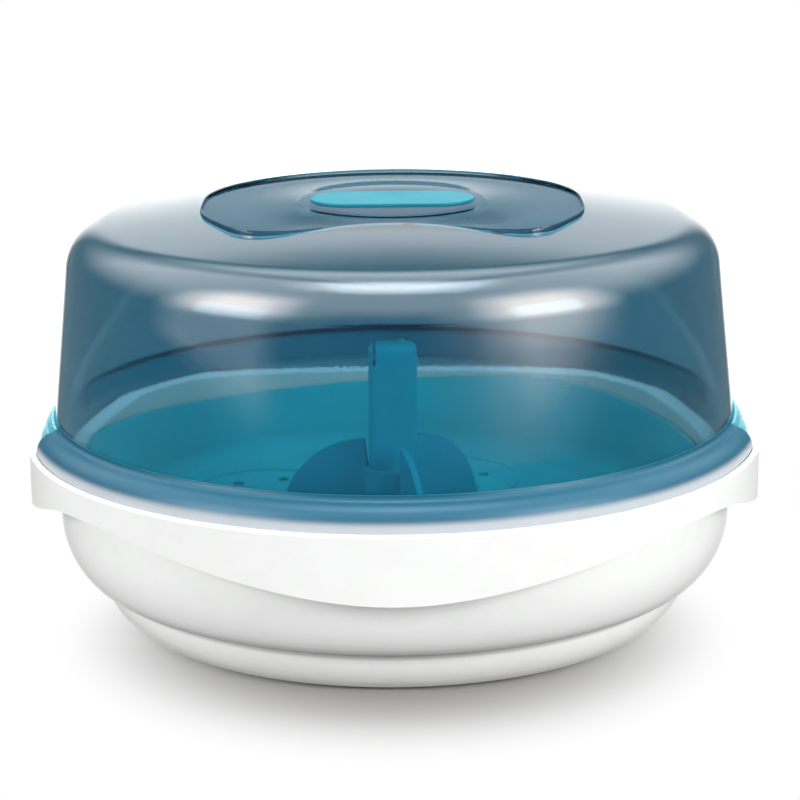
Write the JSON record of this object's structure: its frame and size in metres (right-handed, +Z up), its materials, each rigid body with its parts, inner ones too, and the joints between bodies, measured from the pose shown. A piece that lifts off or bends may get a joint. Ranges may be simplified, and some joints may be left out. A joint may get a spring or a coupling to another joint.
{
  "type": "microwave steam sterilizer",
  "caption": "Round two-tier steam sterilizer for baby bottles with a clear dome lid, side clips, and a pierced bottle rack with a lifting column.",
  "frame": {"origin": "under the middle of the foot ring, on the surface it stands on", "axes": "+Z up, -Y the front, clips at -X and +X"},
  "size_m": [0.2772, 0.2794, 0.156],
  "materials": {
    "white_plastic": "smooth moulded, soft gloss",
    "clear_lid": "clear tinted, polished",
    "badge": "smooth",
    "teal_clip": "smooth moulded",
    "teal_rack": "smooth moulded, slightly translucent"
  },
  "bodies": {
    "base": {"base_bowl": "white_plastic", "rim_collar": "white_plastic"},
    "lid": {"lid_dome": "clear_lid", "lid_badge": "badge"},
    "rack": {"rack_tray": "teal_rack", "divider_hub": "teal_rack", "lift_column": "teal_rack"},
    "latch_left": {"latch_left": "teal_clip"},
    "latch_right": {"latch_right": "teal_clip"}
  },
  "joints": [
    {"name": "lid_lift", "type": "slide", "parent": "base", "child": "lid", "axis": [0, 0, 1], "range_m": [0, 0.15]},
    {"name": "rack_lift", "type": "slide", "parent": "base", "child": "rack", "axis": [0, 0, 1], "range_m": [0, 0.042]},
    {"name": "latch_left_hinge", "type": "hinge", "parent": "base", "child": "latch_left", "pos_m": [-0.131, 0, 0.053], "axis": [0, -1, 0], "range_deg": [0, 50]},
    {"name": "latch_right_hinge", "type": "hinge", "parent": "base", "child": "latch_right", "pos_m": [0.131, 0, 0.053], "axis": [0, 1, 0], "range_deg": [0, 50]}
  ]
}
